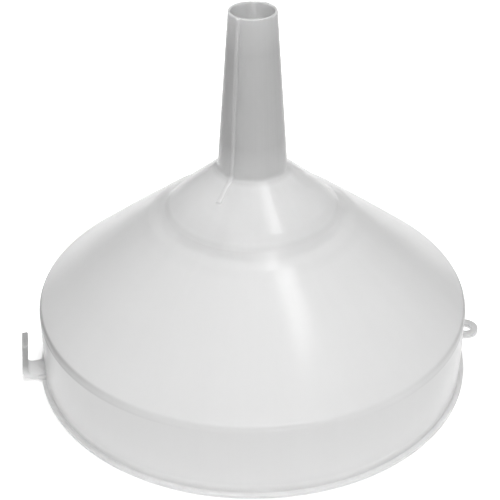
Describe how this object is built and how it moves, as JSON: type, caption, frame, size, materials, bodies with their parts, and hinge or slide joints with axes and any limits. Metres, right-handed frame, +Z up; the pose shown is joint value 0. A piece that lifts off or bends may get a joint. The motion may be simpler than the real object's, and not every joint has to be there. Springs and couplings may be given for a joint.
{
  "type": "plastic filling funnel with strainer",
  "caption": "Wide conical filling funnel with a deep rim skirt, ribbed tapered stem, rim hook and eye, and a push-in mesh strainer.",
  "frame": {"origin": "centre of the mouth plane, which is the plane the funnel stands on", "axes": "+Z up along the stem's axis, +X from the hook to the eye"},
  "size_m": [0.2807, 0.2552, 0.2217],
  "materials": {
    "natural_plastic": "thin milky translucent polypropylene, smooth moulded gloss",
    "white_plastic": "opaque white polypropylene, satin",
    "steel_mesh": "bright woven stainless wire"
  },
  "bodies": {
    "funnel": {"funnel_body": "natural_plastic"},
    "strainer": {"strainer_frame": "white_plastic", "strainer_mesh": "steel_mesh"}
  },
  "joints": [
    {"name": "strainer_lift_out", "type": "slide", "parent": "funnel", "child": "strainer", "axis": [0, 0, -1], "range_m": [0, 0.11]}
  ]
}
